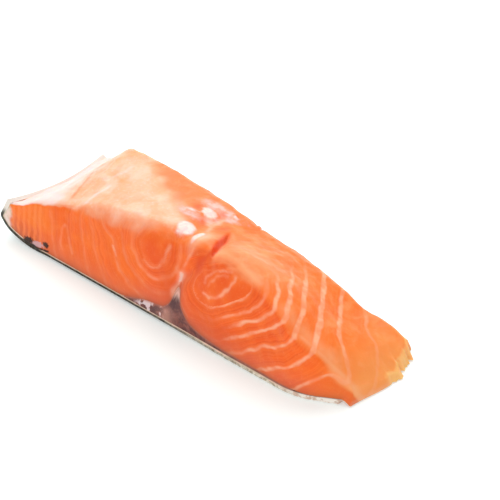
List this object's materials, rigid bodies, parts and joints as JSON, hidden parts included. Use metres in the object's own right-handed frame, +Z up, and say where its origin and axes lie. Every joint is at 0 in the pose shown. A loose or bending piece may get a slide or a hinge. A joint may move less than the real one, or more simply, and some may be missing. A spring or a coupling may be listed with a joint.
{
  "type": "raw salmon fillet",
  "caption": "Raw salmon fillet portion, cut across one side of the fish and lying on its skin, with dark muscle along the skin and a split in its upper face.",
  "frame": {"origin": "on the table, under the middle of the portion's bounding box", "axes": "+X from the dorsal edge to the belly end, +Y from the front cut face to the back cut face, +Z up out of the skin"},
  "size_m": [0.1604, 0.0522, 0.0338],
  "materials": {
    "flesh": "moist orange flesh with pale fat lines between its muscle layers",
    "dark_muscle": "moist brownish-purple muscle",
    "skin": "wet scaly skin, dark at the dorsal edge and silver towards the belly"
  },
  "bodies": {
    "root": {"flesh": "flesh", "dark_muscle": "dark_muscle", "skin": "skin"}
  },
  "joints": []
}
